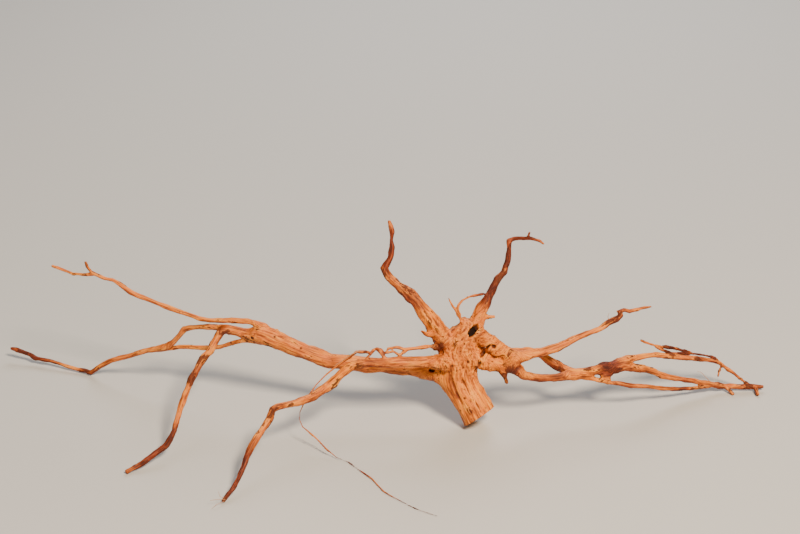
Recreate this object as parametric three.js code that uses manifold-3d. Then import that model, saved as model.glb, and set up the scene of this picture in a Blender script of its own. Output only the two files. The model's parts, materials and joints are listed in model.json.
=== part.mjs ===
// Dry root: the barkless, dried rootstock of a woody shrub, sawn off at the stem.
// It is one grown piece of wood. Stem, crown, horns, limbs, legs and rootlets are joined into
// one solid, which stands on its root tips and on the rim of the sawn stem.
// Millimetres, +Z up. X runs along the longest spread and Y from front to back.
// The routes are drawn from the point on the floor under the middle of the saw cut. The
// finished solid is moved so that its origin is the bottom centre of its bounding box.

import * as THREE from 'three';
import { mergeVertices } from 'three/addons/utils/BufferGeometryUtils.js';
import Module from 'manifold-3d';

const wasm = await Module();
wasm.setup();

// Driving dimensions.
const STEM_RADIUS = 18;
const CUT_CENTRE = new THREE.Vector3(0, 0, 12);
const CUT_NORMAL = new THREE.Vector3(0.555, -0.351, -0.752).normalize();
const SAW_BLOCK = 44;
const RING_STEP = 13;
const THICK_SIDES = 11;
const LIMB_SIDES = 8;
const STRAND_SIDES = 7;
const FINE_SIDES = 5;
const HOLLOW_SIDES = 7;

// Each route is a list of [x, y, z, radius], from the crown outwards.

const CROWN = [
  {
    name: 'stem',
    route: [
      [4, -3, 6, STEM_RADIUS], [-8, 6, 25, 17.5], [-16, 12, 38, 17.5], [-20, 17, 50, 18],
      [-19, 20, 65, 18.5], [-18, 21, 78, 18], [-17, 22, 88, 16.5], [-14, 23, 98, 13.5],
      [-10, 24, 106, 9],
    ],
  },
  {
    name: 'left_buttress',
    route: [[-38, 18, 52, 8], [-30, 13, 42, 8], [-22, 6, 31, 7], [-15, 0, 21, 4]],
  },
  {
    name: 'right_shoulder',
    route: [
      [-10, 22, 94, 9], [0, 17, 94, 8], [8, 13, 91, 7], [17, 11, 85, 7], [26, 10, 78, 7.5],
      [33, 10, 73, 7],
    ],
  },
  {
    name: 'right_knob',
    route: [[-10, 16, 71, 12], [0, 13, 69, 9], [10, 11, 66, 8], [20, 10, 67, 7.5], [29, 10, 69, 8]],
  },
];

const HORNS = [
  {
    name: 'left_horn',
    route: [
      [-26, 20, 74, 14], [-40, 18, 95, 10.5], [-48, 17, 108, 9], [-56, 18, 119, 7.5],
      [-64, 20, 131, 6.5], [-74, 23, 139, 6], [-82, 26, 145, 4.6], [-91, 29, 153, 4.2],
      [-95, 31, 161, 4], [-89, 34, 170, 3], [-87, 37, 181, 2.8], [-88, 39, 187, 2.3],
      [-87, 41, 195, 2.3], [-90, 44, 206, 1],
    ],
  },
  {
    name: 'right_horn',
    route: [
      [-12, 24, 84, 13], [-5, 26, 99, 9], [-2, 28, 108, 7], [1, 30, 115, 5.8], [6, 33, 123, 5],
      [9, 36, 128, 4.5], [12, 40, 133, 3.9], [17, 46, 142, 3.5], [24, 50, 148, 3], [28, 56, 158, 2.7],
      [29, 61, 167, 2.6], [29, 65, 175, 2.4], [34, 66, 177, 2.2], [48, 60, 180, 1.8],
      [59, 56, 179, 1.3], [63, 54, 176, 1],
    ],
  },
];

const RIGHT_LIMBS = [
  {
    name: 'upper_right_limb',
    route: [
      [24, 10, 73, 8], [34, 9, 74, 7.8], [46, 9, 76, 6], [59, 11, 78, 5], [69, 13, 80, 4.4],
      [79, 15, 83, 4], [99, 20, 91, 3.3], [119, 25, 97, 3], [129, 28, 103, 3.1], [136, 29, 106, 2.9],
      [140, 30, 110, 2.4], [138, 31, 113, 2.2], [143, 33, 114, 1.9], [149, 36, 111, 1.7],
      [162, 41, 112, 1.3], [172, 45, 112, 0.9],
    ],
  },
  {
    name: 'behind_right_limb',
    route: [
      [24, 18, 70, 7], [35, 26, 71, 4.6], [51, 30, 70, 3.8], [61, 32, 65, 4], [69, 32, 59, 4.5],
      [77, 31, 54, 4.5], [84, 29, 50, 4.3], [98, 25, 47, 4],
    ],
  },
  {
    name: 'lower_right_limb',
    route: [
      [18, 10, 67, 8], [30, 7, 66, 7.5], [38, 5, 61, 5.6], [45, 5, 55, 4.6], [60, 9, 50, 4.2],
      [70, 13, 48, 4], [81, 17, 47, 4.4], [91, 21, 48, 5.6], [101, 24, 47, 6], [122, 31, 48, 6.3],
      [143, 38, 49, 6.6], [152, 42, 50, 6],
    ],
  },
];

const RIGHT_STRANDS = [
  {
    name: 'upper_strand',
    route: [
      [139, 37, 50, 6], [151, 44, 53, 5], [159, 47, 53, 3.6], [180, 55, 52, 3.1], [207, 65, 44, 2.5],
      [229, 72, 39, 2.5], [245, 76, 34, 2.2], [251, 77, 31, 2.1], [257, 77, 26, 2], [263, 76, 22, 1.9],
      [273, 75, 14, 1.4], [282, 74, 7, 1.2],
    ],
  },
  {
    name: 'middle_strand',
    route: [
      [139, 36, 48, 6], [151, 40, 47, 5], [159, 43, 43, 4.4], [169, 47, 40, 4], [180, 51, 35, 3.6],
      [188, 54, 29, 3.4], [219, 64, 18, 2.9], [230, 67, 14, 3], [241, 70, 10, 3.4], [252, 72, 7, 3.2],
      [263, 73, 6, 2.6], [290, 74, 5, 2.2], [298, 74, 5, 1.7],
    ],
  },
  {
    name: 'lower_strand',
    route: [
      [99, 23, 46, 4], [111, 23, 42, 3.1], [122, 25, 38, 2.7], [143, 29, 33, 2.5], [153, 32, 29, 2.5],
      [175, 41, 23, 2.5], [191, 48, 17, 2.2], [208, 56, 12, 2.1], [230, 65, 9, 2], [243, 69, 9, 2.2],
    ],
  },
];

const LEFT_LIMBS = [
  {
    name: 'main_left_limb',
    route: [
      [-20, 20, 52, 13], [-34, 20, 50, 11.5], [-49, 21, 51, 9.6], [-60, 22, 54, 9], [-80, 23, 56, 8.5],
      [-115, 24, 57, 7.6], [-130, 25, 59, 7.6], [-150, 27, 60, 8], [-170, 29, 67, 8.5],
      [-190, 32, 75, 8.4], [-210, 35, 83, 9.6], [-220, 37, 86, 9.4], [-229, 39, 84, 7],
      [-237, 41, 84, 5.4], [-255, 46, 87, 4.5], [-271, 53, 85, 3], [-293, 63, 79, 2.6],
      [-299, 66, 76, 2.6], [-306, 70, 65, 2.8], [-313, 74, 56, 2.9], [-321, 77, 50, 3.3],
      [-344, 87, 40, 3.1], [-361, 93, 31, 2.9], [-381, 100, 22, 2.7], [-397, 106, 10, 2.6],
      [-405, 108, 3.4, 2.6], [-411, 111, 3.4, 2.2], [-427, 117, 4.5, 2.1], [-450, 127, 7, 2],
      [-468, 133, 7, 2.3], [-475, 137, 10, 2], [-486, 141, 12, 1.8], [-496, 145, 13, 1],
    ],
  },
  {
    name: 'upper_left_limb',
    route: [
      [-204, 35, 86, 7], [-212, 36, 93, 5], [-221, 38, 96, 3.8], [-231, 41, 97, 3.1],
      [-250, 46, 96, 2.6], [-271, 50, 94, 2.4], [-281, 52, 95, 2.4], [-291, 54, 98, 2.4],
      [-311, 57, 104, 2.5], [-331, 61, 111, 2.5], [-351, 65, 118, 2.5], [-363, 67, 127, 2.3],
      [-369, 69, 130, 2], [-377, 70, 131, 1.9], [-388, 73, 135, 2.2], [-396, 75, 133, 1.6],
      [-410, 79, 132, 1.3], [-426, 83, 137, 1.2], [-432, 85, 138, 0.8],
    ],
  },
  {
    name: 'under_strand',
    route: [
      [-214, 36, 82, 6], [-229, 36, 77, 3], [-238, 40, 76, 2.4], [-254, 51, 66, 2.4],
      [-262, 56, 61, 2.3], [-279, 65, 55, 2.5], [-290, 70, 53, 2.2], [-306, 77, 50, 2.3],
      [-317, 80, 46, 2.1], [-338, 86, 41, 2],
    ],
  },
];

const LEGS = [
  {
    name: 'outer_leg',
    route: [
      [-249, 44, 87, 4.4], [-258, 42, 87, 4.1], [-262, 35, 82, 3.5], [-269, 24, 73, 3.4],
      [-275, 17, 69, 3.7], [-279, 10, 64, 3.6], [-285, -2, 56, 3.5], [-295, -32, 37, 3],
      [-299, -51, 25, 3], [-302, -58, 20, 2.9], [-305, -63, 16, 3.2], [-312, -69, 13, 3.1],
      [-323, -78, 8, 2.8], [-331, -84, 4.6, 2.5], [-342, -92, 2.4, 2.2],
    ],
  },
  {
    name: 'front_leg',
    route: [
      [-24, 14, 66, 11], [-42, 4, 71, 7.6], [-52, -3, 75, 6], [-80, -7, 77, 5.3], [-99, -7, 76, 4.4],
      [-109, -7, 76, 4], [-119, -8, 75, 4.4], [-129, -10, 73, 5], [-140, -15, 64, 5],
      [-146, -18, 59, 5.4], [-153, -21, 55, 4.8], [-166, -30, 50, 4.4], [-181, -43, 51, 4.1],
      [-198, -59, 55, 3.9], [-202, -62, 54, 3.8], [-204, -68, 49, 3.9], [-215, -85, 38, 4],
      [-220, -94, 33, 4.2], [-224, -102, 27, 3.8], [-228, -115, 19, 3.2], [-236, -131, 9, 2.8],
      [-241, -138, 5, 2.5], [-245, -144, 2.2, 2],
    ],
  },
];

const ROOTLETS = [
  {
    name: 'crown_rootlet',
    route: [
      [-33, 16, 80, 5], [-47, 9, 85, 3], [-55, 5, 87, 2.6], [-65, 2, 87, 2], [-75, 0, 87, 1.7],
      [-82, -1, 90, 1.4], [-91, -2, 89, 1.2], [-94, -4, 85, 1.2], [-97, -1, 87, 1.2],
      [-102, 1, 88, 1.2], [-106, 0, 86, 1.2], [-108, -2, 84, 1.2], [-113, -3, 86, 1.2],
      [-122, -5, 87, 1.2], [-129, -6, 81, 1.2], [-143, -9, 72, 1.2], [-162, -16, 56, 1.2],
      [-175, -22, 36, 1.2], [-178, -25, 30, 1.2], [-178, -31, 25, 1.2], [-175, -37, 21, 1.2],
      [-163, -46, 15, 1.1], [-152, -56, 8, 1.1], [-141, -64, 2, 1.1], [-129, -71, 1.1, 1.1],
      [-120, -84, 1.1, 1], [-106, -102, 1.1, 1], [-95, -124, 1.1, 1], [-80, -140, 1, 0.9],
      [-64, -155, 1, 0.8], [-45, -167, 1, 0.7],
    ],
  },
  {
    name: 'twin_rootlet',
    route: [
      [-73, 0, 86, 1.6], [-80, -4, 83, 1.2], [-86, -4, 87, 1.2], [-93, -4, 85, 1.3],
    ],
  },
  {
    name: 'loop_rootlet',
    route: [
      [-102, 1, 87, 1.8], [-99, -3, 86, 2], [-95, -6, 82, 2], [-90, -7, 77, 2],
    ],
  },
  { name: 'ring_rootlet', route: [[-105, 0, 86, 1.1], [-110, -4, 82, 1.1], [-114, -7, 78, 1.3]] },
  {
    name: 'horn_loop',
    route: [
      [-16, 20, 101, 5], [-21, 18, 113, 3], [-23, 16, 122, 2], [-22, 16, 128, 1.5], [-18, 18, 132, 1.3],
      [-11, 22, 134, 1.2], [-1, 29, 133, 1.3], [10, 38, 130, 1.5],
    ],
  },
  { name: 'horn_spike', route: [[-23, 16, 120, 1.8], [-28, 14, 128, 1.2], [-32, 13, 137, 0.8]] },
  { name: 'left_horn_stub', route: [[-44, 17, 96, 6], [-53, 8, 100, 3.4], [-59, 4, 106, 1.5]] },
  { name: 'right_horn_stub', route: [[-1, 29, 109, 4], [9, 27, 109, 2.2], [15, 26, 110, 1.6]] },
  { name: 'right_horn_twig', route: [[47, 60, 179, 1.6], [49, 59, 187, 1]] },
  { name: 'left_limb_spur', route: [[-388, 73, 133, 2], [-394, 72, 143, 1.6], [-395, 71, 149, 1.2]] },
  { name: 'broken_stub', route: [[21, 6, 66, 5.5], [24, 1, 59, 3.2], [27, -2, 50, 1.6]] },
  { name: 'strand_twig', route: [[254, 77, 29, 1.7], [250, 73, 24, 1.3], [249, 71, 18, 0.9]] },
  { name: 'front_right_stub', route: [[256, 73, 7, 2.3], [265, 63, 1.6, 1.4]] },
  { name: 'end_right_stub', route: [[289, 74, 5, 2], [290, 61, 2.1, 1.9]] },
  {
    name: 'back_rootlet',
    route: [
      [164, 50, 71, 0.9], [178, 58, 62, 1.3], [197, 69, 53, 1.3], [208, 75, 48, 1.2],
      [221, 80, 42, 1.1],
    ],
  },
  {
    name: 'back_rootlet_branch',
    route: [
      [177, 57, 63, 1.2], [188, 62, 54, 1.3], [199, 68, 47, 1.3], [225, 79, 41, 1.3],
      [243, 80, 37, 1.5], [253, 77, 30, 1.7],
    ],
  },
];

// Hollows cut into the surface: centre, half sizes, and turns about X, Y and Z in degrees.
const HOLLOWS = [
  { name: 'crown_hollow', centre: [-7, 9, 102], halfSizes: [3, 8, 7], turns: [0, 35, 0] },
  { name: 'shoulder_crevice', centre: [3, 5, 80], halfSizes: [1.8, 10, 8.5], turns: [0, 28, 0] },
  { name: 'eye_hole', centre: [119, 28, 42.6], halfSizes: [4.6, 9, 1.7], turns: [-25, 0, 0] },
];

function vector([x, y, z]) {
  return new THREE.Vector3(x, y, z);
}

// A route's radius at curve parameter t, which passes one waypoint every 1 / (waypoints - 1).
function radiusAt(route, t) {
  const place = t * (route.length - 1);
  const before = Math.min(Math.floor(place), route.length - 2);
  return THREE.MathUtils.lerp(route[before][3], route[before + 1][3], place - before);
}

// Where the rings of a bar sit: at every waypoint, and evenly between two that are far apart.
function ringPlaces(route) {
  const spans = route.length - 1;
  const places = [];
  for (let i = 0; i < spans; i += 1) {
    const gap = vector(route[i]).distanceTo(vector(route[i + 1]));
    const pieces = Math.max(1, Math.round(gap / RING_STEP));
    for (let k = 0; k < pieces; k += 1) places.push((i + k / pieces) / spans);
  }
  places.push(1);
  return places;
}

// A round bar of the route's radii, turned on a lathe and then bent along the route. Its
// sideways direction is carried from ring to ring, so the bar doesn't twist.
function bentBar(route, sides) {
  const curve = new THREE.CatmullRomCurve3(route.map(vector), false, 'centripetal');
  const places = ringPlaces(route);
  const last = places.length - 1;
  const outline = places.map((t, ring) => new THREE.Vector2(radiusAt(route, t), ring));
  outline.unshift(new THREE.Vector2(0, 0));
  outline.push(new THREE.Vector2(0, last));
  const bar = new THREE.LatheGeometry(outline, sides);

  let side = new THREE.Vector3(0, 1, 0);
  const frames = places.map((t) => {
    const along = curve.getTangent(t);
    const across = new THREE.Vector3().crossVectors(side, along).normalize();
    side = new THREE.Vector3().crossVectors(along, across);
    return { point: curve.getPoint(t), across, side };
  });
  const position = bar.getAttribute('position');
  for (let i = 0; i < position.count; i += 1) {
    const frame = frames[Math.round(position.getY(i))];
    const point = frame.point.clone();
    point.addScaledVector(frame.across, position.getZ(i));
    point.addScaledVector(frame.side, position.getX(i));
    position.setXYZ(i, point.x, point.y, point.z);
  }
  return bar;
}

// A closed geometry as a solid: shared vertices merged, and flat triangles at the poles dropped.
function solid(geometry) {
  geometry.deleteAttribute('normal');
  geometry.deleteAttribute('uv');
  const merged = mergeVertices(geometry, 1e-4);
  const corners = merged.getIndex().array;
  const triangles = [];
  for (let i = 0; i < corners.length; i += 3) {
    const [a, b, c] = corners.slice(i, i + 3);
    if (a !== b && b !== c && c !== a) triangles.push(a, b, c);
  }
  return new wasm.Manifold(new wasm.Mesh({
    numProp: 3,
    vertProperties: new Float32Array(merged.getAttribute('position').array),
    triVerts: new Uint32Array(triangles),
  }));
}

function grownRoots(roots, sides) {
  return roots.map(({ route }) => solid(bentBar(route, sides)));
}

// The block of air below the saw cut, with one face in the plane of the cut.
function sawBlock() {
  const block = new THREE.BoxGeometry(SAW_BLOCK, SAW_BLOCK, SAW_BLOCK);
  const turn = new THREE.Quaternion().setFromUnitVectors(new THREE.Vector3(0, 0, 1), CUT_NORMAL);
  const centre = CUT_CENTRE.clone().addScaledVector(CUT_NORMAL, SAW_BLOCK / 2);
  block.applyQuaternion(turn);
  block.translate(centre.x, centre.y, centre.z);
  return solid(block);
}

function hollow({ centre, halfSizes, turns }) {
  const bubble = new THREE.SphereGeometry(1, HOLLOW_SIDES, HOLLOW_SIDES);
  const angles = turns.map(THREE.MathUtils.degToRad);
  bubble.scale(...halfSizes);
  bubble.applyQuaternion(new THREE.Quaternion().setFromEuler(new THREE.Euler(...angles)));
  bubble.translate(...centre);
  return solid(bubble);
}

function rootWood() {
  const parts = [
    ...grownRoots(CROWN, THICK_SIDES),
    ...grownRoots([...HORNS, ...RIGHT_LIMBS, ...LEFT_LIMBS, ...LEGS], LIMB_SIDES),
    ...grownRoots(RIGHT_STRANDS, STRAND_SIDES),
    ...grownRoots(ROOTLETS, FINE_SIDES),
  ];
  let wood = parts.reduce((joined, part) => joined.add(part));
  wood = wood.subtract(sawBlock());
  HOLLOWS.forEach((shape) => {
    wood = wood.subtract(hollow(shape));
  });

  const mesh = wood.getMesh();
  const geometry = new THREE.BufferGeometry();
  geometry.setAttribute('position', new THREE.BufferAttribute(mesh.vertProperties, 3));
  geometry.setIndex(new THREE.BufferAttribute(mesh.triVerts, 1));
  return geometry;
}

// Moves the origin to the bottom centre of the bounding box.
function standOnFloor(geometry) {
  geometry.computeBoundingBox();
  const { min, max } = geometry.boundingBox;
  geometry.translate(-(min.x + max.x) / 2, -(min.y + max.y) / 2, -min.z);
  geometry.computeVertexNormals();
  return geometry;
}

const dryWood = new THREE.MeshStandardMaterial({ color: 0xc98f5c, roughness: 0.72, metalness: 0 });

const root = new THREE.Mesh(standOnFloor(rootWood()), dryWood);
root.name = 'root_wood';

const dryRoot = new THREE.Group();
dryRoot.add(root);

export default dryRoot;
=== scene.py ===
import heapq
import json
import math

import bmesh
import bpy
import numpy as np
from mathutils import Matrix, Vector
from mathutils.bvhtree import BVHTree
from mathutils.interpolate import poly_3d_calc


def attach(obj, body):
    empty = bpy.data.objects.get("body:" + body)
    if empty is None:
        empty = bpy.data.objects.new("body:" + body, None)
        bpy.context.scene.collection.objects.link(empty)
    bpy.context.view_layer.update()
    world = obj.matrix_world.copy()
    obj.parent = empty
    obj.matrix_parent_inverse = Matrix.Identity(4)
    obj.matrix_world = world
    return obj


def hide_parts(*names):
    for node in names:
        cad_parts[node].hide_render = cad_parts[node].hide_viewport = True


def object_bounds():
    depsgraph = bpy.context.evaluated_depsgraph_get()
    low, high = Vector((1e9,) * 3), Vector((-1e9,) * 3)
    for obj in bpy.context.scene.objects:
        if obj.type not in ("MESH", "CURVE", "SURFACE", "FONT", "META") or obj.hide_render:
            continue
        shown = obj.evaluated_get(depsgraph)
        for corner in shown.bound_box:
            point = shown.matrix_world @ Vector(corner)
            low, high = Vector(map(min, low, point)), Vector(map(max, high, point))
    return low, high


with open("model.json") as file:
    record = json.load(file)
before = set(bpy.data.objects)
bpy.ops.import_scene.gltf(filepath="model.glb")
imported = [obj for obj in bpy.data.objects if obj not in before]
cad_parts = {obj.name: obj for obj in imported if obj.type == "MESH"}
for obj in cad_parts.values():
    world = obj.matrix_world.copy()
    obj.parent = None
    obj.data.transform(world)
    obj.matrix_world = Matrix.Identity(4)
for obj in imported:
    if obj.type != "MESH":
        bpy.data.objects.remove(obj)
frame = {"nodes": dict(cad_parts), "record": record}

cad_low, cad_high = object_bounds()

# A dried rootstock with the bark gone, stood on its root tips on a pale studio floor.
# Lengths are in metres, in the CAD frame: X along the spread, Y to the back, Z up.
# Names that end in _MM hold millimetres.

MM = 0.001
NODE = "root_wood"
SAWN_END = frame["record"]["mounts"][0]
SAWN_CENTRE = np.array(SAWN_END["pos_m"])
SAWN_NORMAL = np.array(SAWN_END["axis"]) / np.linalg.norm(SAWN_END["axis"])

VOXEL = 0.85 * MM            # side of the squares in the fine skin
SPARE_STEM = 5 * MM          # the stem runs on past the saw cut until the last step
CUT_REACH = 32 * MM          # everything at the saw cut lies this close to its centre
CUT_GAP = 0.3 * MM           # a face of the saw cut lies this close to the cut's plane
SAME_WAY = 0.999             # two directions whose product is above this are the same
END_GRAIN = 1                # the saw cut's place in the list of materials
SLICE = 3 * MM               # length of wood in one slice across a root
THINNEST = 0.5 * MM          # least radius that a slice is given
ROUNDING = 26                # rounds of rubbing down the blank's facets
FLOW = 60                    # rounds of evening out the middle line, girth and grain
GRAIN_PULL = 8               # how strictly combed bumps keep to the grain
COMBING = 0.6                # how far one round of combing moves a value
SWELL = 0.10 * MM            # gives back what the rubbing down takes off
THICK_ROOT = 7 * MM          # a root of this radius is rubbed down in full
MOST_TRIANGLES = 196_000
LOW_BITS = 0xFFFFFFFF        # keeps the scrambled numbers to 32 bits


# --- small tools --------------------------------------------------------------------------

def smooth_step(low, high, values):
    """From 0 at low to 1 at high, with soft ends."""
    t = np.clip((values - low) / (high - low), 0, 1)
    return t * t * (3 - 2 * t)


def lattice(cells, seed):
    """A fixed random number from -1 to 1 for each whole-number place, by scrambling its bits."""
    mix = cells @ np.array([374761393, 668265263, 1442695041]) + seed * 974634777
    mix = mix & LOW_BITS
    mix = ((mix ^ (mix >> 13)) * 1274126177) & LOW_BITS
    mix = ((mix ^ (mix >> 15)) * 2246822519) & LOW_BITS
    return ((mix ^ (mix >> 16)) & 0xFFFF) / 32767.5 - 1


def wander(places, seed):
    """Smooth noise from about -1 to 1, one swing for each unit of length."""
    cell = np.floor(places).astype(np.int64)
    part = places - cell
    part = part * part * part * (part * (part * 6 - 15) + 10)
    total = np.zeros(len(places))
    for corner in range(8):
        step = np.array([corner & 1, corner >> 1 & 1, corner >> 2 & 1])
        weight = np.prod(np.where(step, part, 1 - part), axis=1)
        total += weight * lattice(cell + step, seed)
    return total


def unit(vectors):
    """Each row drawn to length 1."""
    return vectors / np.maximum(np.linalg.norm(vectors, axis=1, keepdims=True), 1e-12)


class Skin:
    """The fine mesh's vertices and edges, as arrays."""

    def __init__(self, mesh):
        self.mesh = mesh
        count = len(mesh.vertices)
        self.place = np.empty(count * 3)
        mesh.vertices.foreach_get("co", self.place)
        self.place = self.place.reshape(-1, 3)
        ends = np.empty(len(mesh.edges) * 2, np.int64)
        mesh.edges.foreach_get("vertices", ends)
        self.start, self.end = ends.reshape(-1, 2).T
        self.degree = np.bincount(self.start, minlength=count) + np.bincount(self.end, minlength=count)
        squares = [f.vertices[:] for f in mesh.polygons if len(f.vertices) == 4]
        a, b, c, d = np.array(squares).T
        # Steps from vertex to vertex: the edges and both diagonals of each square.
        self.step_from = np.concatenate([self.start, a, b])
        self.step_to = np.concatenate([self.end, c, d])

    def neighbours(self, values):
        """The mean of each vertex's neighbours."""
        count = len(self.degree)
        columns = values.reshape(count, -1)
        sums = np.empty_like(columns, dtype=float)
        for i in range(columns.shape[1]):
            column = columns[:, i]
            sums[:, i] = np.bincount(self.start, column[self.end], count)
            sums[:, i] += np.bincount(self.end, column[self.start], count)
        return (sums / self.degree[:, None]).reshape(values.shape)

    def spread(self, values, rounds, pull=0.5):
        """Values evened out over the surface. pull may differ from vertex to vertex."""
        pull = np.broadcast_to(pull, self.degree.shape)
        if values.ndim == 2:
            pull = pull[:, None]
        for _ in range(rounds):
            values = values + pull * (self.neighbours(values) - values)
        return values

    def normals(self):
        """Puts the places into the mesh and reads back which way the surface faces."""
        self.mesh.vertices.foreach_set("co", self.place.ravel())
        self.mesh.update()
        out = np.empty(len(self.place) * 3, np.float32)
        self.mesh.vertex_normals.foreach_get("vector", out)
        return out.reshape(-1, 3).astype(float)


# --- the blank: the CAD solid as one fine, even skin ------------------------------------------

def blank_from_cad():
    """The CAD node's shape with shared vertices, and the stem run on past its saw cut."""
    blank = bmesh.new()
    blank.from_mesh(frame["nodes"][NODE].data)
    bmesh.ops.remove_doubles(blank, verts=blank.verts, dist=1e-6)
    blank.normal_update()
    normal = Vector(SAWN_NORMAL)
    centre = Vector(SAWN_CENTRE)
    facing = [f for f in blank.faces if f.normal.dot(normal) > SAME_WAY]
    sawn = [f for f in facing if abs((f.calc_center_median() - centre).dot(normal)) < CUT_GAP]
    grown = bmesh.ops.extrude_face_region(blank, geom=sawn)
    moved = [v for v in grown["geom"] if isinstance(v, bmesh.types.BMVert)]
    bmesh.ops.translate(blank, verts=moved, vec=normal * SPARE_STEM)
    bmesh.ops.delete(blank, geom=[f for f in sawn if f.is_valid], context="FACES_ONLY")
    bmesh.ops.triangulate(blank, faces=blank.faces)
    return blank, moved


def reach_over(blank, start):
    """How far along its root each vertex lies: its shortest way over the edges from the sawn end."""
    blank.verts.index_update()
    reach = np.full(len(blank.verts), np.inf)
    queue = []
    for v in start:
        reach[v.index] = 0
        queue.append((0.0, v.index))
    blank.verts.ensure_lookup_table()
    while queue:
        far, index = heapq.heappop(queue)
        if far > reach[index]:
            continue
        here = blank.verts[index]
        for edge in here.link_edges:
            other = edge.other_vert(here)
            further = far + edge.calc_length()
            if further < reach[other.index]:
                reach[other.index] = further
                heapq.heappush(queue, (further, other.index))
    return reach


def fine_mesh(blank):
    """The blank, with its webs, wrapped in an even skin of small squares."""
    webbed = blank.copy()
    for x, y, z, radius in WEBS:
        place = Matrix.Translation(Vector((x, y, z)) * MM)
        bmesh.ops.create_icosphere(webbed, subdivisions=3, radius=radius * MM, matrix=place)
    coarse = bpy.data.meshes.new("blank")
    webbed.to_mesh(coarse)
    webbed.free()
    holder = bpy.data.objects.new("blank", coarse)
    bpy.context.scene.collection.objects.link(holder)
    wrap = holder.modifiers.new("wrap", "REMESH")
    wrap.mode = "VOXEL"
    wrap.voxel_size = VOXEL
    graph = bpy.context.evaluated_depsgraph_get()
    fine = bpy.data.meshes.new_from_object(holder.evaluated_get(graph))
    bpy.data.objects.remove(holder)
    return fine


def carried_over(blank, reach, places):
    """The reach at each place, read from the nearest of the blank's triangles."""
    tree = BVHTree.FromBMesh(blank)
    blank.faces.ensure_lookup_table()
    out = np.empty(len(places))
    for i, place in enumerate(places):
        touch, _, face, _ = tree.find_nearest(place)
        corners = blank.faces[face].verts
        weights = poly_3d_calc([v.co for v in corners], touch)
        out[i] = sum(w * reach[v.index] for w, v in zip(weights, corners))
    return out


# --- slices across each root, from which come its middle line, girth and grain -----------------

def slice_labels(skin, reach):
    """The slice that each vertex lies in: a joined patch of vertices with about the same reach."""
    band = np.floor(reach / SLICE).astype(int)
    same = band[skin.start] == band[skin.end]
    a, b = skin.start[same], skin.end[same]
    label = np.arange(len(reach))
    while True:
        low = np.minimum(label[a], label[b])
        new = label.copy()
        np.minimum.at(new, label[a], low)
        np.minimum.at(new, label[b], low)
        new = new[new]
        new = new[new]
        if (new == label).all():
            break
        label = new
    _, label = np.unique(label, return_inverse=True)
    return label, band


def follow_roots(skin, reach):
    """For each vertex: its root's middle, its direction, its radius, and a direction across it."""
    label, band = slice_labels(skin, reach)
    count = label.max() + 1
    size = np.bincount(label, minlength=count)
    middle = np.stack([np.bincount(label, skin.place[:, i], count) / size for i in range(3)], axis=1)

    # Each slice follows on the slice before it that it touches most.
    level = np.zeros(count, int)
    level[label] = band
    a, b = label[skin.start], label[skin.end]
    swap = level[a] > level[b]
    a, b = np.where(swap, b, a), np.where(swap, a, b)
    steps, contacts = np.unique(np.stack([a, b], 1)[a != b], axis=0, return_counts=True)
    parent = np.full(count, -1)
    best = np.zeros(count, int)
    for (low, high), n in zip(steps, contacts):
        if level[low] < level[high] and n > best[high]:
            best[high] = n
            parent[high] = low

    along = np.zeros((count, 3))
    has = parent >= 0
    along[has] = middle[has] - middle[parent[has]]
    along = unit(along)
    along[~has] = -SAWN_NORMAL
    offset = skin.place - middle[label]
    offset -= (offset * along[label]).sum(1, keepdims=True) * along[label]
    radius = np.sqrt(np.bincount(label, (offset ** 2).sum(1), count) / size)
    radius = np.maximum(radius, THINNEST)

    # The direction across is handed on from slice to slice, so that it doesn't spin round the root.
    side = np.zeros((count, 3))
    for i in np.argsort(level, kind="stable"):
        if parent[i] < 0:
            first = np.cross(along[i], (0, 0, 1))
            side[i] = first / np.linalg.norm(first)
            continue
        kept = side[parent[i]] - side[parent[i]].dot(along[i]) * along[i]
        side[i] = kept / max(np.linalg.norm(kept), 1e-9)
    return middle[label], along[label], radius[label], side[label]


class Grain:
    """The wood's own directions at every vertex, evened out so that they flow round the forks."""

    def __init__(self, skin, reach):
        middle, along, radius, side = follow_roots(skin, reach)
        self.skin = skin
        self.radius = skin.spread(radius, FLOW) / MM
        along = unit(skin.spread(along, 2 * FLOW, 0.8))
        side = skin.spread(side, FLOW)
        side = unit(side - (side * along).sum(1, keepdims=True) * along)
        offset = skin.place - skin.spread(middle, FLOW)
        across = np.cross(along, side)
        # The root laid out straight: two directions across it and one along it, in millimetres.
        self.straight = np.stack([(offset * side).sum(1), (offset * across).sum(1), reach], axis=1) / MM
        # How firmly two neighbours are tied when bumps are combed: firmly only along the grain.
        steps = unit(skin.place[skin.step_to] - skin.place[skin.step_from])
        flow = unit(along[skin.step_from] + along[skin.step_to])
        self.hold = np.abs((steps * flow).sum(1)) ** GRAIN_PULL + 1e-6
        count = len(skin.place)
        self.total = np.bincount(skin.step_from, self.hold, count)
        self.total += np.bincount(skin.step_to, self.hold, count)

    def combed(self, seed, wide, long):
        """Random bumps drawn out along the grain: more rounds make them wider, or longer."""
        skin = self.skin
        count = len(skin.place)
        values = np.random.RandomState(seed).standard_normal(count)
        values = skin.spread(values, wide)
        for _ in range(long):
            pulled = np.bincount(skin.step_from, self.hold * values[skin.step_to], count)
            pulled += np.bincount(skin.step_to, self.hold * values[skin.step_from], count)
            values = (1 - COMBING) * values + COMBING * pulled / self.total
        values -= values.mean()
        return values / values.std()


# --- where things are on the root: [x, y, z, radius] in millimetres, in the CAD frame -------------

CROWN = [[80, 24, 84, 46], [90, 16, 60, 30]]
STEM = [[92, 8, 44, 58], [98, 8, 26, 58]]
HORN_FEET = [[48, 22, 108, 30], [98, 36, 116, 22]]
HOLLOWS = [[92, 20, 102, 15], [102, 16, 80, 16], [218, 39, 43, 10]]
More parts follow.
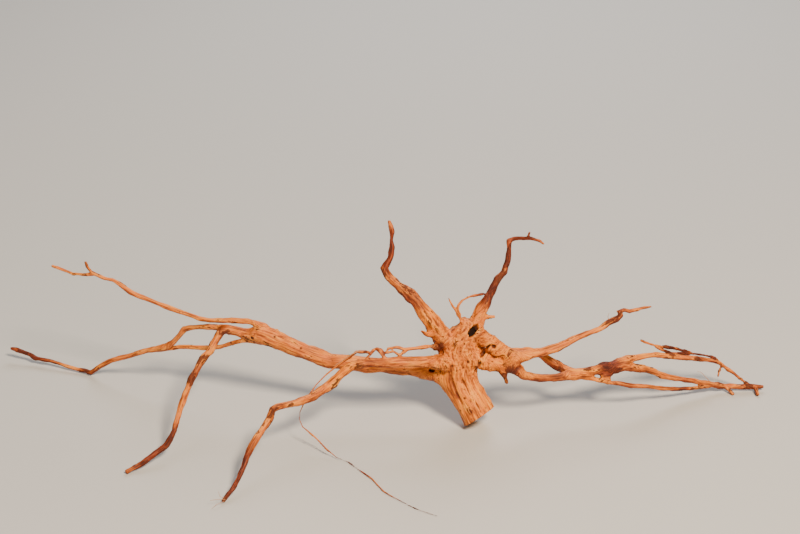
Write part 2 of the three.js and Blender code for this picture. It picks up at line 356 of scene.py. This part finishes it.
# Small webs of wood that bridge a crotch of the right limbs and leave a small hole behind them.
WEBS = [[225.6, 39, 42, 4.1], [231, 40.5, 45, 3.4], [230, 38, 39.4, 2.8]]
# Where the root is thicker or thinner than the blank: [x, y, z, radius, millimetres of radius].
GIRTH = [
    # stem and crown
    [62, 16, 44, 18, 1.4], [10, 8, 87, 34, 0.35], [75, 34, 106, 9, -4.5], [78, 40, 102, 8, -3.0],
    [74, 38, 99, 9, -2.5], [99, 20, 89, 6, 2.0],
    # strands of the right limbs where they twist out of the crown
    [112, 23, 84, 11, 5.0], [108, 25, 73, 11, 4.5], [100, 30, 78, 10, 4.0], [118, 24, 74, 9, 3.5],
    [116, 17, 78.5, 7, 2.6],
    # left horn
    [54, 22, 112, 26, 0.9], [28, 27, 137, 26, 0.5], [10, 48, 188, 16, -0.4], [10, 52, 200, 12, 0.9],
    # main left limb, its forks and tips
    [-30, 5, 84, 30, 0.3], [-106, 48, 96, 13, -4.0], [-146, 53, 89, 16, 0.8], [-152, 52, 77, 12, 0.6],
    [-323, 92, 136, 26, 0.5], [-295, 81, 147, 12, 0.6], [-392, 153, 14, 12, 0.8],
    # the two front legs
    [-60, -10, 55, 60, -0.5], [-70, -20, 30, 30, -0.4], [-85, -40, 55, 30, -0.4], [-95, -45, 14, 40, -0.35],
    [-110, -75, 40, 50, -0.5], [-120, -92, 28, 40, -0.45], [-135, -118, 12, 45, -0.6],
    [-205, -50, 20, 40, -0.3],
    # trailing rootlet
    [-40, -60, 4, 50, -0.35], [-27, -65, 2, 40, -0.45], [20, -115, 1, 60, -0.35], [40, -140, 1, 40, -0.4],
    # right limbs
    [225, 40, 48, 26, -0.5], [258, 49, 112, 26, 0.45], [300, 80, 52, 34, 0.5], [383, 83, 6, 20, 0.5],
]
OCHRE = [[90, 14, 50, 90], [110, 16, 66, 80], [-30, -4, 62, 45], [210, 36, 45, 60], [40, 22, 110, 50]]

# How brown the wood has weathered: [x, y, z, radius, strength].
BROWN = [
    # stem and crown
    [91, -1, 24, 7, 0.7], [76, 6, 38, 7, 0.6], [103, 0, 33, 6, 0.6], [58, 19, 86, 14, 0.5],
    [15, 8, 88, 16, 0.5],
    # left horn, then right horn
    [28, 27, 137, 36, 0.55], [12, 45, 178, 48, 0.95],
    [110, 46, 134, 28, 1.0], [132, 66, 170, 50, 1.0],
    # main left limb and its tips
    [-12, 4, 86, 34, 0.6], [-160, 48, 88, 18, 0.5], [-311, 119, 3, 26, 0.5], [-385, 145, 10, 70, 0.95],
    # the two front legs and the trailing rootlet
    [-60, -10, 30, 40, 0.5], [-104, -60, 52, 40, 0.45], [-132, -114, 15, 62, 1.0],
    [-183, 12, 62, 28, 0.6], [-215, -60, 14, 58, 0.95],
    [-27, -65, 4, 60, 0.95], [40, -140, 2, 70, 0.95],
    # right limbs
    [133, 12, 62, 20, 0.5], [160, 20, 56, 34, 0.4], [177, 37, 52, 22, 0.5], [208, 38, 54, 12, 0.5],
    [231, 42, 52, 24, 0.95], [240, 40, 108, 30, 0.6], [250, 44, 32, 40, 0.35], [310, 68, 12, 26, 0.5],
    [344, 80, 14, 40, 0.35], [383, 83, 6, 30, 0.5],
    # the dark strand behind them: weathered brown, and painted shade where it lies back behind the limbs
    [294, 79, 54, 16, 1.0], [310, 86, 47, 15, 1.0], [328, 89, 41, 14, 1.0], [342, 89, 36, 12, 1.0],
]
# Scabs of inner bark that are left: [x, y, z, radius, strength].
BARK = [
    # crown
    [60, 19, 87, 9, 1.0], [52, 20, 92, 14, 0.4], [97, 16, 66, 5, 0.8],
    # left horn, then right horn
    [4, 38, 163, 16, 0.45], [12, 46, 184, 22, 0.35], [28, 27, 137, 22, 0.25],
    [107, 42, 128, 12, 0.5], [114, 52, 140, 22, 1.15], [130, 66, 162, 22, 0.45], [146, 71, 182, 16, 0.5],
    # main left limb and its tips
    [-157, 50, 88, 10, 0.5], [-255, 99, 36, 12, 0.4], [-286, 81, 135, 10, 0.3], [-311, 119, 3, 14, 0.6],
    [-368, 142, 9, 22, 0.6],
    # the two front legs
    [-60, -16, 52, 10, 0.35], [-102, -55, 54, 12, 0.5], [-127, -106, 20, 18, 0.75],
    [-140, -128, 8, 18, 0.75],
    [-177, 23, 70, 12, 0.45], [-187, 3, 56, 14, 0.85], [-203, -49, 22, 20, 0.9], [-212, -60, 13, 14, 0.6],
    [-230, -72, 8, 14, 0.5],
    # right limbs
    [126, 12, 62, 18, 0.9], [133, 17, 80, 10, 0.5], [177, 37, 52, 14, 0.6], [184, 24, 87, 12, 0.35],
    [209, 38, 54, 9, 0.85], [227, 42, 53, 15, 0.9], [232, 37, 105, 16, 0.7], [239, 44, 50, 11, 0.7],
    [275, 57, 33, 16, 0.4], [298, 62, 17, 8, 0.7], [350, 80, 10, 16, 0.35], [383, 83, 5, 16, 0.5],
    # the dark strand behind them: its bark, and painted shade where it lies back behind the limbs
    [294, 79, 54, 14, 0.9], [310, 86, 47, 13, 0.9], [318, 77, 38, 14, 0.6], [325, 79, 40, 9, 0.8],
    [328, 89, 41, 12, 0.9],
]
# Small raised knots and dark scars.
KNOTS = [[-128, 42, 90, 5], [-53, -12, 60, 4], [62, 18, 86, 4], [104, 4, 40, 4]]
SCARS = [
    [72, 12, 68, 3], [87, 15, 71, 3], [84, 4, 36, 2.5], [-105, 38, 87, 2.5], [-79, 35, 76, 2.5],
    [-128, 42, 84, 3], [70, 20, 101, 3], [98, 14, 64, 3],
]
# Splits and grooves: how wide and how deep in millimetres, then the places they pass through.
SPLITS = [
    # down the stem
    [0.6, 1.5, [[82, 10, 53], [87, 7, 44], [91, 3, 35]]],
    [0.6, 1.5, [[93, 3, 37], [97, 0, 29], [101, -3, 21]]],
    [1.0, 0.8, [[69, 14, 56], [76, 8, 41], [80, 4, 32], [89, -3, 22]]],
    # at the foot of the left horn
    [1.6, 1.6, [[44, 22, 122], [54, 19, 107], [62, 16, 94]]],
    [1.2, 1.2, [[52, 22, 116], [60, 18, 104], [64, 16, 96]]],
    # the hole between the main left limb and the stem, and the groove along that limb
    [2.2, 5.5, [[46, 14, 66], [52, 7, 69], [59, 11, 65]]],
    [1.8, 4.0, [[50, 25, 56], [55, 22, 57], [60, 20, 57]]],
    [1.6, 2.6, [[-24, -3, 72], [1, 2, 68], [25, 5, 67], [45, 9, 66]]],
    # round the strands that twist out of the crown to the right
    [1.7, 3.0, [[98, 14, 66], [100, 15, 74], [103, 18, 78], [105, 18, 85], [109, 15, 90], [113, 15, 87]]],
    [1.7, 3.0, [[105.5, 21, 84.5], [104, 22.5, 80], [102.5, 20.5, 76.5], [100.5, 17.5, 73],
                [98.5, 18, 67.5]]],
    [1.0, 1.8, [[111, 15, 71], [121, 14, 78], [127, 12, 77]]],
    # the deep eye hole in the crown
    [3.2, 6.0, [[90, 23, 98], [95, 27, 104]]],
]


# --- shaping ------------------------------------------------------------------------------

def near(places, spots):
    """From 0 to 1: how close each place is to some spots. A fifth number is the spot's strength."""
    closest = np.zeros(len(places))
    for x, y, z, radius, *strength in spots:
        gap = np.linalg.norm(places / MM - (x, y, z), axis=1) / radius
        strongest = strength[0] if strength else 1
        closest = np.maximum(closest, (1 - smooth_step(0.0, 1.0, gap)) * strongest)
    return closest


def line_gap(places, line):
    """The distance in millimetres from each place to a line through some points."""
    closest = np.full(len(places), np.inf)
    for a, b in zip(np.array(line[:-1], float), np.array(line[1:], float)):
        part = np.clip((places / MM - a) @ (b - a) / ((b - a) @ (b - a)), 0, 1)
        closest = np.minimum(closest, np.linalg.norm(places / MM - a - part[:, None] * (b - a), axis=1))
    return closest


def round_off(skin, reach):
    """Rubs down the blank's facets and fillets its forks, and keeps each root's girth."""
    _, _, thick_before, _ = follow_roots(skin, reach)
    # Thin roots are rubbed less than thick ones, and the hollows hardly at all.
    pull = 0.5 * np.clip((thick_before / THICK_ROOT) ** 1.4, 0.035, 1)
    pull *= 1 - 0.85 * near(skin.place, HOLLOWS)
    skin.place = skin.spread(skin.place, ROUNDING, skin.spread(pull, 6))

    middle, along, thick_after, _ = follow_roots(skin, reach)
    ratio = skin.spread(np.clip(thick_before / thick_after, 1, 1.7), 10)
    offset = skin.place - middle
    offset -= (offset * along).sum(1, keepdims=True) * along
    lift = skin.spread(offset * (ratio[:, None] - 1), 4)
    more = np.full(len(skin.place), SWELL)
    for x, y, z, radius, extra in GIRTH:
        more += near(skin.place, [[x, y, z, radius]]) * extra * MM
    skin.place = skin.place + lift + skin.normals() * more[:, None]


def carve(skin, grain):
    """The grown and weathered relief, in millimetres out of the skin that round_off smoothed.

    Returns what the wood's material reads at each vertex: how far bark covers it and how brown it is, both
    with painted shade on the undersides; how dark it is from scars and from painted shade in holes, pits
    and cracks;
    and the streaks of the grain."""
    radius = grain.radius
    places = skin.place / MM
    thick = smooth_step(2.5, 7, radius)
    crown = near(skin.place, CROWN)
    feet = near(skin.place, HORN_FEET)
    calm = 1 - 0.75 * near(skin.place, STEM)

    fibre = grain.combed(1, 0, 16)
    strand = grain.combed(2, 3, 70)
    flute = grain.combed(3, 24, 130)
    bump = grain.combed(4, 3, 1)

    # Uneven growth in lumps 7 and 15 mm long, then fibres, strands and flutes along the grain, then the
    # crown's warty skin. The numbers are heights in millimetres.
    depth = wander(places / 7, 11) * np.minimum(0.17 * radius, 0.7)
    depth += wander(places / 15, 12) * np.minimum(0.10 * radius, 1.0)
    depth += fibre * (0.07 + 0.07 * thick)
    depth += strand * (0.06 + 0.14 * thick) * calm
    depth += flute * ((0.05 + 0.19 * thick) * calm + 0.45 * feet)
    depth += (0.40 * np.abs(bump) + 0.30 * bump - 0.30) * crown

    # Pits where the bumps are lowest, and drying cracks along the flutes of the thick roots.
    pits = smooth_step(1.5, 2.4, -bump) * (crown + 0.3 * thick)
    crack = (1 - smooth_step(0.0, 0.10, np.abs(flute))) * smooth_step(0.5, 1.2, strand)
    crack *= smooth_step(5, 9, radius)
    depth -= pits * 0.9 + crack * 0.8

    # Bark stays in its own places. Painted shade: more bark and more brown go on the undersides, the more
    # so the further a face turns down.
    underside_shade = smooth_step(-0.5, 0.7, -skin.normals()[:, 2])
    brown_and_underside_shade = near(skin.place, BROWN)
    bark_cover_and_underside_shade = 0.66 * near(skin.place, BARK) + 0.26 * brown_and_underside_shade + 0.15 * underside_shade
    bark_cover_and_underside_shade += 0.15 * strand + 0.17 * fibre + 0.05 * bump
    brown_and_underside_shade += 0.40 * underside_shade
    depth += smooth_step(0.42, 0.62, bark_cover_and_underside_shade) * 0.3

    depth += near(skin.place, KNOTS) * 1.4
    scar_and_hole_shade = near(skin.place, SCARS)
    depth -= scar_and_hole_shade * 0.7
    # Dark marks for the scars, and painted shade in the pits, the splits and the drying cracks.
    dark = np.maximum(scar_and_hole_shade, pits * 0.6)
    for wide, deep, line in SPLITS:
        gap = line_gap(skin.place, line) + 0.35 * strand + 0.25 * fibre
        cut = 1 - smooth_step(0.2 * wide, 1.5 * wide, gap)
        depth -= cut * deep
        # Painted shade inside each split, the darker the deeper it is.
        dark = np.maximum(dark, cut * min(0.3 * deep, 1.6))

    skin.place = skin.place + skin.normals() * (depth * MM)[:, None]
    return bark_cover_and_underside_shade, brown_and_underside_shade, np.maximum(dark, crack * 0.7), strand * 0.6 + fibre * 0.4


RELIEF_ROUNDS = 14           # evens out bumps of a few millimetres
ROUND_SHAPE_ROUNDS = 40      # leaves only what comes from the root's own roundness


def relief(skin):
    """How far each vertex stands out of the surface round it, in millimetres. Hollows are below 0."""
    evened = skin.spread(skin.place, RELIEF_ROUNDS)
    stand = ((skin.place - evened) * skin.normals()).sum(1) / MM
    return stand - skin.spread(stand, ROUND_SHAPE_ROUNDS)


def stay_in_box(skin):
    """Nothing reaches past the CAD model's box or into the floor."""
    skin.place = np.clip(skin.place, np.array(cad_low), np.array(cad_high))


def saw_off(mesh):
    """Cuts the spare stem off in the plane of the saw cut and closes it with a flat face of end grain."""
    wood = bmesh.new()
    wood.from_mesh(mesh)
    centre = Vector(SAWN_CENTRE)
    close = {v for v in wood.verts if (v.co - centre).length < CUT_REACH}
    faces = [f for f in wood.faces if all(v in close for v in f.verts)]
    edges = {e for f in faces for e in f.edges}
    verts = {v for f in faces for v in f.verts}
    cut = bmesh.ops.bisect_plane(
        wood, geom=[*verts, *edges, *faces], dist=1e-6,
        plane_co=centre, plane_no=Vector(SAWN_NORMAL), clear_outer=True,
    )
    rim = [e for e in cut["geom_cut"] if isinstance(e, bmesh.types.BMEdge) and e.is_valid]
    made = bmesh.ops.contextual_create(wood, geom=rim)
    for face in wood.faces:
        face.smooth = True
    for face in made["faces"]:
        face.material_index = END_GRAIN
        face.smooth = False
    bmesh.ops.triangulate(wood, faces=wood.faces)
    wood.to_mesh(mesh)
    wood.free()


def thinned(holder):
    """Drops triangles where the wood is smooth, until the piece has at most MOST_TRIANGLES."""
    ratio = MOST_TRIANGLES / len(holder.data.polygons)
    if ratio < 1:
        thin = holder.modifiers.new("thin", "DECIMATE")
        thin.ratio = ratio
        graph = bpy.context.evaluated_depsgraph_get()
        holder.data = bpy.data.meshes.new_from_object(holder.evaluated_get(graph))
        holder.modifiers.clear()


def keep(mesh, name, values):
    """Stores one value, or one vector, for each vertex, for the material to read."""
    vector = values.ndim == 2
    layer = mesh.attributes.new(name, "FLOAT_VECTOR" if vector else "FLOAT", "POINT")
    layer.data.foreach_set("vector" if vector else "value", values.astype(np.float32).ravel())


# --- materials ----------------------------------------------------------------------------

def tint(code):
    """An sRGB hex colour as Blender's linear colour."""
    out = []
    for i in (1, 3, 5):
        c = int(code[i:i + 2], 16) / 255
        out.append(c / 12.92 if c <= 0.04045 else ((c + 0.055) / 1.055) ** 2.4)
    return (*out, 1.0)


def add(tree, kind, inputs, output=0, stops=None, **settings):
    """Adds a node with its settings and links, and returns one of its outputs.

    Each input is given a value or another node's output. A colour ramp's stops are [position, colour]."""
    node = tree.nodes.new(kind)
    for name, value in settings.items():
        setattr(node, name, value)
    for key, value in inputs.items():
        if isinstance(value, bpy.types.NodeSocket):
            tree.links.new(value, node.inputs[key])
        else:
            node.inputs[key].default_value = value
    if stops:
        band = node.color_ramp.elements
        band.remove(band[-1])
        band[0].position = stops[0][0]
        band[0].color = tint(stops[0][1])
        for position, code in stops[1:]:
            band.new(position).color = tint(code)
    return node.outputs[output] if node.outputs else None


WOOD_IOR = 1.5
FIBRE_DEPTH = 0.35 * MM
WOOD_SHEEN = 0.3             # dry open fibres reflect less than a smooth surface would
# Patterns that are drawn out along the grain: [across, along] in millimetres, detail, roughness.
PATTERNS = {
    # Real fibres are far under 0.1 mm across, so bundles of them are drawn as coarse as they need to show.
    "fine": [1.1, 22, 4.0, 0.6],
    "hairlines": [0.7, 14, 3.0, 0.6],
    "clouds": [7, 26, 4.0, 0.6],
    "flecks": [1.6, 4.5, 3.0, 0.6],
    "specks": [1.3, 3.2, 2.0, 0.5],
    "scab edges": [1.4, 5, 4.0, 0.6],
    "scab crumbs": [1.0, 5, 4.0, 0.65],
}
# Each tone of the bare wood, from the dark lines between its fibres to their lit tops.
TONES = {
    "tan": [[0.2, "#7E3A0E"], [0.5, "#D6741E"], [0.8, "#F29E3C"]],
    "salmon": [[0.2, "#863A12"], [0.5, "#DA7028"], [0.8, "#F69C4A"]],
    "gold": [[0.2, "#84380A"], [0.5, "#EE800E"], [0.8, "#FFA830"]],
    "weathered": [[0.2, "#3E1408"], [0.5, "#7E3012"], [0.8, "#B85624"]],
}
BARK_TONES = [[0.3, "#250A05"], [0.5, "#4C190C"], [0.72, "#853C1E"]]
HOLLOW_SHADE = tint("#6E300C")
RIDGE_HIGHLIGHT = tint("#FCB070")
RIDGE_HIGHLIGHT_GOLD = tint("#FAA040")
SPECK = tint("#6B2E12")
SCAR_AND_CRACK_SHADE = tint("#421A0B")
DEEP_HOLE_SHADE = tint("#1C0A05")


def bare_root_wood():
    """Barkless dried root, air-dried and only brushed clean: straight fibres, tan to salmon, gold round the
    crown, brown where it weathered, with thin scabs of red-brown inner bark. Painted shade darkens the
    hollows, undersides, holes, pits and cracks, and a painted highlight lightens the ridges. Dry fibres
    scatter the light, so it looks satin matte."""
    material = bpy.data.materials.new("bare_root_wood")
    material.use_nodes = True
    tree = material.node_tree
    tree.nodes.clear()

    grain = add(tree, "ShaderNodeAttribute", {}, "Vector", attribute_name="grain")
    kept = {}
    for name in ("bark_and_underside_shade", "relief", "ochre", "brown_and_underside_shade", "scar_and_hole_shade", "streak"):
        kept[name] = add(tree, "ShaderNodeAttribute", {}, "Fac", attribute_name=name)
    pattern = {}
    for name, (across, along, detail, roughness) in PATTERNS.items():
        place = add(tree, "ShaderNodeVectorMath", {0: grain, 1: (1 / across, 1 / across, 1 / along)},
                    operation="MULTIPLY")
        pattern[name] = add(tree, "ShaderNodeTexNoise",
                            {"Vector": place, "Scale": 1.0, "Detail": detail, "Roughness": roughness})

    # Sums: a start, then what is added to it, each times its weight.
    sums = {
        # The weathering and the scabs also carry the painted shade on the undersides, through the brown and
        # bark values.
        "fibres": [-0.25, [pattern["fine"], 1.5], [kept["streak"], 0.12]],
        "weathering_and_underside_shade": [-0.4, [kept["brown_and_underside_shade"], 1.0], [pattern["flecks"], 0.8], [kept["streak"], -0.12]],
        "scab": [-0.8, [kept["bark_and_underside_shade"], 1.0], [pattern["scab edges"], 1.6]],
        "height": [0.0, [pattern["hairlines"], 0.5], [pattern["flecks"], 0.25], [kept["bark_and_underside_shade"], 0.35],
                   [pattern["scab edges"], 0.56]],
        "roughness": [0.55, [pattern["fine"], 0.15]],
    }
    total = {}
    for name, (start, *parts) in sums.items():
        total[name] = start
        for value, weight in parts:
            total[name] = add(tree, "ShaderNodeMath", {0: value, 1: weight, 2: total[name]},
                              operation="MULTIPLY_ADD")

    tone = {}
    for name, stops in TONES.items():
        tone[name] = add(tree, "ShaderNodeValToRGB", {"Fac": total["fibres"]}, stops=stops)
    bark_tone = add(tree, "ShaderNodeValToRGB", {"Fac": pattern["scab crumbs"]}, stops=BARK_TONES)
    # Painted highlight for the ridges, more orange in the ochre places.
    ridge_highlight = add(tree, "ShaderNodeMix", {0: kept["ochre"], 6: RIDGE_HIGHLIGHT, 7: RIDGE_HIGHLIGHT_GOLD}, 2,
                 data_type="RGBA")

    # Colours laid over the tan wood, one on the next: what each follows, from where to where it fades in,
    # how much of it there is at most, and the colour.
    layers = [
        [pattern["clouds"], 0.4, 0.62, 1.0, tone["salmon"]],
        [pattern["clouds"], 0.15, 0.5, kept["ochre"], tone["gold"]],
        [total["weathering_and_underside_shade"], 0.05, 0.85, 1.0, tone["weathered"]],
        # Painted shade: the hollows are darkened, the more the deeper they sink.
        [kept["relief"], -0.02, -0.35, 0.7, HOLLOW_SHADE],
        # A painted highlight on the ridges.
        [kept["relief"], 0.05, 0.4, 0.25, ridge_highlight],
        [pattern["specks"], 0.66, 0.72, 0.7, SPECK],
        [total["scab"], 0.38, 0.54, 0.92, bark_tone],
        # Scars, and painted shade in holes, pits, splits and cracks, near black in the deepest holes.
        [kept["scar_and_hole_shade"], 0.1, 0.9, 0.9, SCAR_AND_CRACK_SHADE],
        [kept["scar_and_hole_shade"], 0.8, 1.5, 1.0, DEEP_HOLE_SHADE],
    ]
    colour = tone["tan"]
    for value, start, full, most, top in layers:
        share = add(tree, "ShaderNodeMapRange", {0: value, 1: start, 2: full, 4: most},
                    interpolation_type="SMOOTHSTEP")
        colour = add(tree, "ShaderNodeMix", {0: share, 6: colour, 7: top}, 2, data_type="RGBA")

    # Scabs and the walls of holes are rougher than the wood.
    roughness = total["roughness"]
    for value, start, full, most in [[total["scab"], 0.38, 0.54, 0.15], [kept["scar_and_hole_shade"], 0.4, 1.2, 0.35]]:
        share = add(tree, "ShaderNodeMapRange", {0: value, 1: start, 2: full, 4: most},
                    interpolation_type="SMOOTHSTEP")
        roughness = add(tree, "ShaderNodeMath", {0: roughness, 1: share}, operation="ADD")
    bump = add(tree, "ShaderNodeBump",
               {"Height": total["height"], "Strength": 0.55, "Distance": FIBRE_DEPTH})
    shader = add(tree, "ShaderNodeBsdfPrincipled", {
        "Base Color": colour, "Roughness": roughness, "Normal": bump,
        "IOR": WOOD_IOR, "Specular IOR Level": WOOD_SHEEN,
    })
    add(tree, "ShaderNodeOutputMaterial", {"Surface": shader})
    return material


RING_GAP_MM = 3.157          # one year's growth
RINGS_PER_UNIT = 20 / (2 * math.pi)      # the ring pattern's own rings in one unit of length


def sawn_end_grain():
    """The saw cut across the stem: paler wood with growth rings round the pith, matte from the saw."""
    material = bpy.data.materials.new("sawn_end_grain")
    material.use_nodes = True
    tree = material.node_tree
    shader = tree.nodes["Principled BSDF"]
    cut = add(tree, "ShaderNodeAttribute", {}, "Vector", attribute_name="cut")
    rings = add(tree, "ShaderNodeTexWave", {
        "Vector": cut, "Scale": 1 / (RINGS_PER_UNIT * RING_GAP_MM),
        "Distortion": 1.2, "Detail": 3.0, "Detail Scale": 0.8,
    }, "Fac", wave_type="RINGS", rings_direction="Z")
    colour = add(tree, "ShaderNodeValToRGB", {"Fac": rings},
                 stops=[[0.0, "#C9965F"], [0.6, "#DDB07C"], [1.0, "#A8713C"]])
    tree.links.new(colour, shader.inputs["Base Color"])
    shader.inputs["Roughness"].default_value = 0.8
    return material


def plain(name, code, roughness):
    """One even colour, for what has no pattern that shows."""
    material = bpy.data.materials.new(name)
    material.use_nodes = True
    shader = material.node_tree.nodes["Principled BSDF"]
    shader.inputs["Base Color"].default_value = tint(code)
    shader.inputs["Roughness"].default_value = roughness
    return material


# --- the piece -----------------------------------------------------------------------------

REACH_EVENING = 12           # rounds of evening out the reach
LEAST_OCHRE = 0.12


def make_root():
    """The whole root: the CAD solid wrapped, rubbed down, carved along its grain, and sawn off."""
    blank, start = blank_from_cad()
    reach = reach_over(blank, start)
    skin = Skin(fine_mesh(blank))
    reach = skin.spread(carried_over(blank, reach, skin.place), REACH_EVENING)
    blank.free()

    round_off(skin, reach)
    grain = Grain(skin, reach)
    bark_cover_and_underside_shade, brown_and_underside_shade, dark, streak = carve(skin, grain)
    stay_in_box(skin)
    stand = relief(skin)
    skin.normals()

    side = unit(np.cross([SAWN_NORMAL], [(0.0, 1.0, 0.0)]))[0]
    cut_axes = np.stack([side, np.cross(SAWN_NORMAL, side), SAWN_NORMAL], axis=1)
    mesh = skin.mesh
    keep(mesh, "grain", grain.straight)
    keep(mesh, "bark_and_underside_shade", bark_cover_and_underside_shade)
    keep(mesh, "relief", stand)
    keep(mesh, "ochre", np.maximum(near(skin.place, OCHRE), LEAST_OCHRE))
    keep(mesh, "brown_and_underside_shade", brown_and_underside_shade)
    keep(mesh, "scar_and_hole_shade", dark)
    keep(mesh, "streak", streak)
    keep(mesh, "cut", (skin.place - SAWN_CENTRE) / MM @ cut_axes)
    saw_off(mesh)

    piece = bpy.data.objects.new("dry_root_wood", mesh)
    bpy.context.scene.collection.objects.link(piece)
    mesh.materials.append(bare_root_wood())
    mesh.materials.append(sawn_end_grain())
    thinned(piece)
    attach(piece, "root")
    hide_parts(NODE)


# Loose threads of wood: their radius at the foot in millimetres, then the places they pass through.
HAIRS = [
    [0.75, [[-19, 5, 89], [-27, 3, 86], [-36, 2, 80], [-45, 0, 74]]],
    [0.30, [[-144, -132, 5], [-148, -134, 8], [-149, -135, 14]]],
    [0.30, [[-143, -133, 4], [-150, -137, 7], [-157, -138, 6]]],
    [0.25, [[-144, -134, 3], [-151, -140, 3], [-155, -144, 1]]],
    [0.35, [[341, 81, 12], [336, 80, 18], [330, 79, 25], [326, 79, 26]]],
    [0.30, [[227, 40, 105], [226, 39, 109], [227, 39, 113]]],
    [0.35, [[262, 47, 28], [263, 45, 26], [266, 44, 25]]],
]
HAIR_SIDES = 6
HAIR_STEPS = 4               # rings for each place on the line
HAIR_TAPER = 0.6             # share of the radius that is gone at the end


def make_hairs():
    """The loose threads as thin bars that narrow to their ends."""
    hairs = bmesh.new()
    turns = [2 * math.pi * k / HAIR_SIDES for k in range(HAIR_SIDES)]
    for thick, line in HAIRS:
        points = np.array(line, float) * MM
        knots = np.arange(len(points))
        fine = np.linspace(0, len(points) - 1, HAIR_STEPS * len(points))
        path = np.stack([np.interp(fine, knots, points[:, i]) for i in range(3)], axis=1)
        along = unit(np.gradient(path, axis=0))
        side = unit(np.cross(along, (0.3, 1.0, 0.2)))
        other = np.cross(along, side)
        before = None
        for i, place in enumerate(path):
            radius = thick * MM * (1 - HAIR_TAPER * i / len(path))
            offsets = [radius * (math.cos(t) * side[i] + math.sin(t) * other[i]) for t in turns]
            ring = [hairs.verts.new(place + offset) for offset in offsets]
            for k in range(HAIR_SIDES if before else 0):
                hairs.faces.new([before[k - 1], before[k], ring[k], ring[k - 1]])
            if i in (0, len(path) - 1):
                hairs.faces.new(ring)
            before = ring
    bmesh.ops.recalc_face_normals(hairs, faces=hairs.faces)
    for face in hairs.faces:
        face.smooth = len(face.verts) == 4
    mesh = bpy.data.meshes.new("root_hairs")
    hairs.to_mesh(mesh)
    hairs.free()
    # Torn threads of the same wood, too fine to show any grain.
    mesh.materials.append(plain("dry_root_hair", "#C08458", 0.7))
    piece = bpy.data.objects.new("root_hairs", mesh)
    bpy.context.scene.collection.objects.link(piece)
    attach(piece, "root")


# --- studio -----------------------------------------------------------------------------

ELEVATION = 25               # degrees that the camera looks down
VIEW_DISTANCE = 1.889
VIEW_CENTRE = Vector((0.0198, 0.0737, 0.1471))
LENS_MM = 85
SENSOR_MM = 36
FLOOR_HALF = 6.0
# Each soft round lamp: its name, place, width, watts and colour.
LAMPS = [
    ["key", (0.8, -1.5, 2.0), 0.6, 122, "#FFE9CC"],
    ["fill", (-1.7, -1.0, 1.2), 1.6, 9, "#FFF6EE"],
    ["back", (0.3, 1.9, 1.6), 1.4, 36, "#FFFFFF"],
]
ROOM_COLOUR = "#E8E5E0"
ROOM_STRENGTH = 0.17


def make_camera():
    """A long lens straight in front of the root, looking down on it."""
    lens = bpy.data.cameras.new("camera")
    lens.lens = LENS_MM
    lens.sensor_width = SENSOR_MM
    camera = bpy.data.objects.new("camera", lens)
    bpy.context.scene.collection.objects.link(camera)
    tilt = math.radians(ELEVATION)
    camera.location = VIEW_CENTRE + VIEW_DISTANCE * Vector((0, -math.cos(tilt), math.sin(tilt)))
    camera.rotation_euler = (math.pi / 2 - tilt, 0, 0)
    bpy.context.scene.camera = camera


def make_floor():
    """A plain pale floor of matte paint."""
    corners = [(FLOOR_HALF * x, FLOOR_HALF * y, 0) for x, y in [(-1, -1), (1, -1), (1, 1), (-1, 1)]]
    mesh = bpy.data.meshes.new("floor")
    mesh.from_pydata(corners, [], [(0, 1, 2, 3)])
    mesh.materials.append(plain("studio_floor", "#C6C5C3", 0.9))
    floor = bpy.data.objects.new("floor", mesh)
    bpy.context.scene.collection.objects.link(floor)


def make_light():
    """Three soft lamps and the pale light of the room."""
    for name, place, width, watts, code in LAMPS:
        lamp = bpy.data.lights.new(name, "AREA")
        lamp.shape = "DISK"
        lamp.size = width
        lamp.energy = watts
        lamp.color = tint(code)[:3]
        holder = bpy.data.objects.new(name, lamp)
        bpy.context.scene.collection.objects.link(holder)
        holder.location = place
        holder.rotation_euler = (VIEW_CENTRE - Vector(place)).to_track_quat("-Z", "Y").to_euler()
    world = bpy.data.worlds.new("studio")
    world.use_nodes = True
    room = world.node_tree.nodes["Background"]
    room.inputs["Color"].default_value = tint(ROOM_COLOUR)
    room.inputs["Strength"].default_value = ROOM_STRENGTH
    bpy.context.scene.world = world


make_root()
make_hairs()
make_camera()
make_floor()
make_light()
